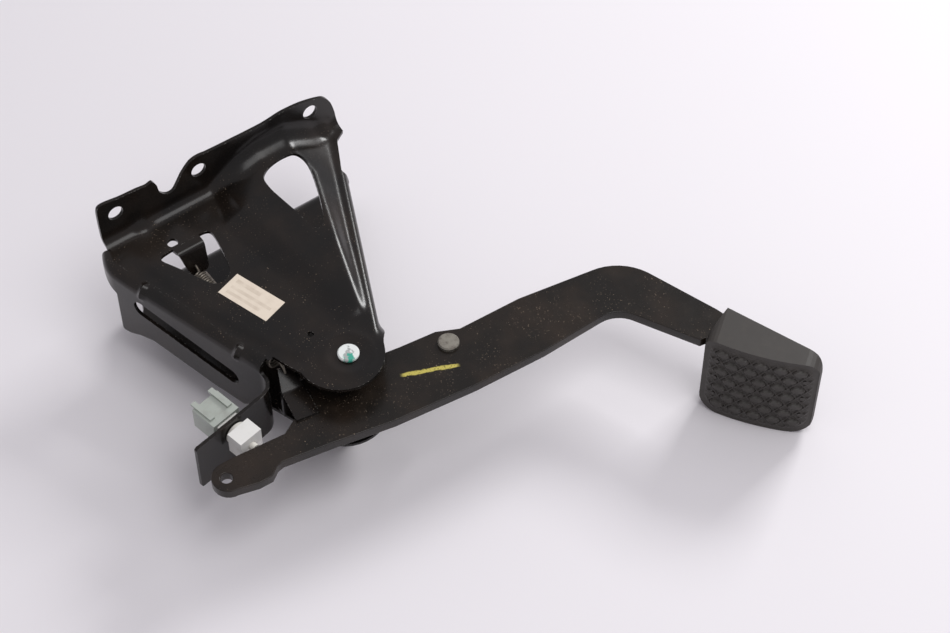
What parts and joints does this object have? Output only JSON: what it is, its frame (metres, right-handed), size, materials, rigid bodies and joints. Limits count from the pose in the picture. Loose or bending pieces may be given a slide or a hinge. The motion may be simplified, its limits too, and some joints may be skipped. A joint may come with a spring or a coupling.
{
  "type": "brake pedal assembly",
  "caption": "Sprung brake pedal on a folded sheet bracket, with a flat lever on a pivot bolt, a rubber-covered pad and a stop-light switch with its plug housing.",
  "frame": {"origin": "middle of the rectangle of four bulkhead bolts, on the bulkhead face of the flanges", "axes": "+X from the bulkhead towards the pivot, +Y along the flange from the side bolt, +Z along the pivot axis towards the bolt head; the part lies on its side on its lower flange, its pad and its pivot bolt"},
  "size_m": [0.3847, 0.3991, 0.1355],
  "materials": {
    "black_paint": "satin black paint with dust and chips",
    "lever_paint": "satin black paint with a brown sheen",
    "zinc": "dull zinc plate",
    "pin_steel": "bare dull steel",
    "marked_head": "bolt head dabbed with pale paint",
    "bush_plastic": "natural polymer",
    "pad_rubber": "matt moulded rubber",
    "buffer_rubber": "matt rubber",
    "spring_steel": "oiled spring wire",
    "white_plastic": "white moulded plastic",
    "pale_plastic": "pale moulded plastic",
    "grey_plastic": "grey moulded plastic",
    "terminal_brass": "tinned brass blades",
    "label_paper": "cream paper label"
  },
  "bodies": {
    "bracket": {"upper_bracket": "black_paint", "lower_bracket": "black_paint", "pivot_bolt": "marked_head", "pivot_washer": "zinc", "pivot_nut": "zinc", "return_spring": "spring_steel", "stop_bracket": "black_paint", "stop_buffer": "buffer_rubber", "switch_sleeve": "pale_plastic", "switch_body": "white_plastic", "plunger_spring": "spring_steel", "switch_terminals": "terminal_brass", "connector_housing": "grey_plastic", "connector_latch": "grey_plastic", "part_label": "label_paper"},
    "pedal": {"pedal_lever": "lever_paint", "pivot_tube": "lever_paint", "upper_bush": "bush_plastic", "lower_bush": "bush_plastic", "pushrod_pin": "pin_steel", "pad_plate": "lever_paint", "pad_rubber": "pad_rubber", "spring_strap": "zinc"},
    "plunger": {"switch_plunger": "pale_plastic"}
  },
  "joints": [
    {"name": "pedal_swing", "type": "hinge", "parent": "bracket", "child": "pedal", "pos_m": [0.188, -0.046, 0], "axis": [0, 0, 1], "range_deg": [0, 24], "stiffness_Nm_per_rad": 6, "springref_deg": -20.05, "deforming": ["return_spring"]},
    {"name": "switch_press", "type": "slide", "parent": "bracket", "child": "plunger", "axis": [-0.9831, -0.183, 0], "range_m": [0, 0.003], "stiffness_N_per_m": 300, "springref_m": -0.003, "deforming": ["plunger_spring"]}
  ]
}
